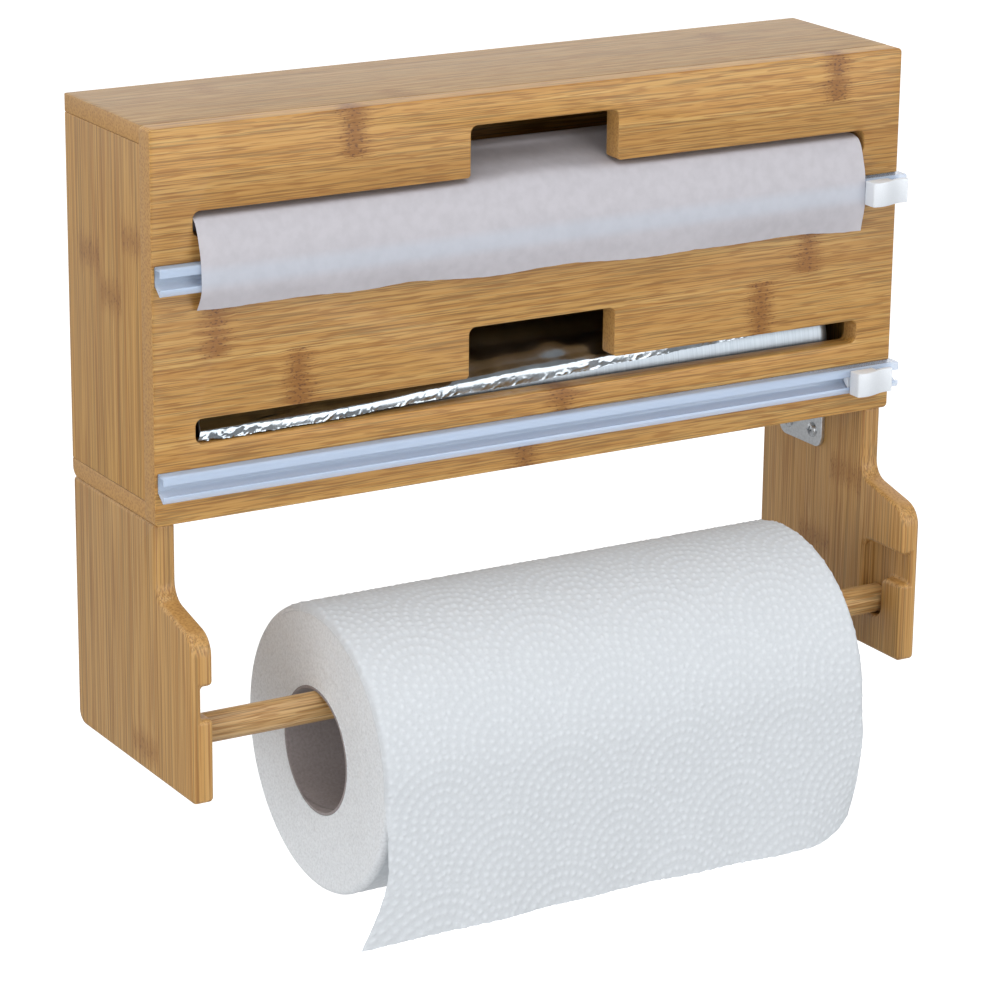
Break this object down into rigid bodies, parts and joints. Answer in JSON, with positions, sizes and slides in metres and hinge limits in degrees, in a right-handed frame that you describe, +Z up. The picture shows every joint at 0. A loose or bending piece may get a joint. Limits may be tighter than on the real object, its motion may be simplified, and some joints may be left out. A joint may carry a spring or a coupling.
{
  "type": "wall roll dispenser",
  "caption": "Wall-hung bamboo kitchen roll dispenser: a cabinet that feeds baking paper and foil through slots over slide cutters, with a towel roll on a lift-out rod between two arms below.",
  "frame": {"origin": "on the wall, midway between the two screw holes in the back panel", "axes": "+X to the right along the cabinet, +Y into the wall, +Z up"},
  "size_m": [0.3515, 0.1478, 0.3208],
  "materials": {
    "bamboo": "laminated caramel bamboo, satin lacquer",
    "bamboo_rod": "turned bamboo, satin lacquer",
    "clear_plastic": "clear extruded plastic",
    "white_plastic": "moulded, semi-gloss",
    "steel": "bright",
    "zinc": "zinc plated",
    "towel_paper": "embossed tissue",
    "baking_paper": "siliconised, slightly translucent",
    "foil": "bright kitchen foil",
    "cardboard": "grey board tube",
    "tape": "adhesive tape"
  },
  "bodies": {
    "cabinet": {"top_panel": "bamboo", "bottom_panel": "bamboo", "left_side_panel": "bamboo", "right_side_panel": "bamboo", "back_panel": "bamboo", "divider_shelf": "bamboo", "carcass_dowels": "bamboo_rod", "panel_magnets": "steel", "locating_pegs": "bamboo_rod", "left_arm": "bamboo", "right_arm": "bamboo", "left_corner_bracket": "zinc", "right_corner_bracket": "zinc", "bracket_screws": "steel", "foil_end": "foil"},
    "front_panel": {"front_panel": "bamboo", "strike_discs": "steel", "upper_rail": "clear_plastic", "lower_rail": "clear_plastic", "rail_tapes": "tape", "baking_sheet": "baking_paper"},
    "upper_slider": {"upper_slider": "white_plastic", "upper_blade": "steel"},
    "lower_slider": {"lower_slider": "white_plastic", "lower_blade": "steel"},
    "towel_rod": {"towel_rod": "bamboo_rod", "towel_end": "towel_paper"},
    "towel_roll": {"towel_roll": "towel_paper", "towel_core": "cardboard"},
    "baking_roll": {"baking_roll": "baking_paper", "baking_core": "cardboard"},
    "foil_roll": {"foil_roll": "foil", "foil_core": "cardboard"}
  },
  "joints": [
    {"name": "front_panel_pull", "type": "slide", "parent": "cabinet", "child": "front_panel", "axis": [0, -1, 0], "range_m": [0, 0.06], "deforming": ["baking_sheet"]},
    {"name": "upper_slider_slide", "type": "slide", "parent": "front_panel", "child": "upper_slider", "axis": [-1, 0, 0], "range_m": [0, 0.327], "deforming": ["baking_sheet"]},
    {"name": "lower_slider_slide", "type": "slide", "parent": "front_panel", "child": "lower_slider", "axis": [-1, 0, 0], "range_m": [0, 0.323]},
    {"name": "towel_rod_lift", "type": "slide", "parent": "cabinet", "child": "towel_rod", "axis": [0, 0, 1], "range_m": [0, 0.0187]},
    {"name": "towel_roll_spin", "type": "hinge", "parent": "towel_rod", "child": "towel_roll", "pos_m": [0.0055, -0.0854, -0.2408], "axis": [1, 0, 0], "continuous": true, "deforming": ["towel_end"]},
    {"name": "baking_roll_spin", "type": "hinge", "parent": "cabinet", "child": "baking_roll", "pos_m": [0, -0.047, -0.0277], "axis": [1, 0, 0], "continuous": true},
    {"name": "foil_roll_spin", "type": "hinge", "parent": "cabinet", "child": "foil_roll", "pos_m": [0, -0.045, -0.1082], "axis": [1, 0, 0], "continuous": true, "deforming": ["foil_end"]}
  ]
}
